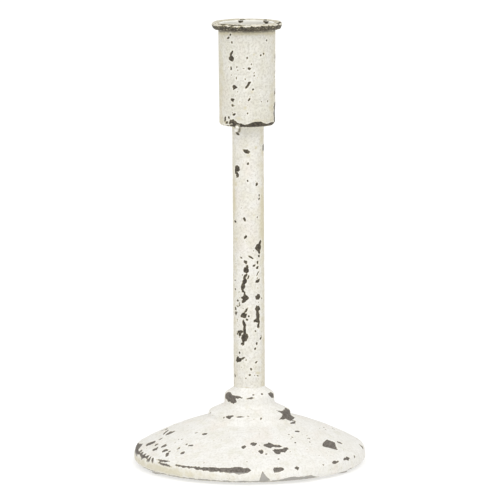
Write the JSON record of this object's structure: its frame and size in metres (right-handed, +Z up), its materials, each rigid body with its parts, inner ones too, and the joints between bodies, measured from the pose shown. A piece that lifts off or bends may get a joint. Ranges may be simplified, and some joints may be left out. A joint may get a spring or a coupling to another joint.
{
  "type": "candlestick",
  "caption": "Candlestick with a shallow domed round base, a stepped collar, a plain tube stem and a deep cup with a beaded rim, in chipped off-white paint over iron.",
  "frame": {"origin": "centre of the circle on which the candlestick stands, at the underside of its felt pads", "axes": "+Z up the stem's axis to the candle; +X to the right and -Y towards the viewer, with the first felt pad at +Y"},
  "size_m": [0.11, 0.11, 0.21],
  "materials": {
    "base_paint": "off-white chalky paint, chipped to dark grey-brown iron at the edges",
    "stem_paint": "off-white chalky paint with chips in vertical rows",
    "cup_paint": "warm off-white chalky paint, worn through along the rim and the lower edge",
    "bare_steel": "turned mild steel, unpainted",
    "zinc_steel": "dull zinc plating",
    "grey_felt": "pale pressed felt"
  },
  "bodies": {
    "root": {"base_dish": "base_paint", "stem_collar": "base_paint", "stem_tube": "stem_paint", "lower_stem_plug": "bare_steel", "upper_stem_plug": "bare_steel", "candle_cup": "cup_paint", "rim_ring": "cup_paint", "cup_screw": "zinc_steel", "base_bolt": "zinc_steel", "base_washer": "zinc_steel", "spring_washer": "zinc_steel", "felt_pad_1": "grey_felt", "felt_pad_2": "grey_felt", "felt_pad_3": "grey_felt"}
  },
  "joints": []
}
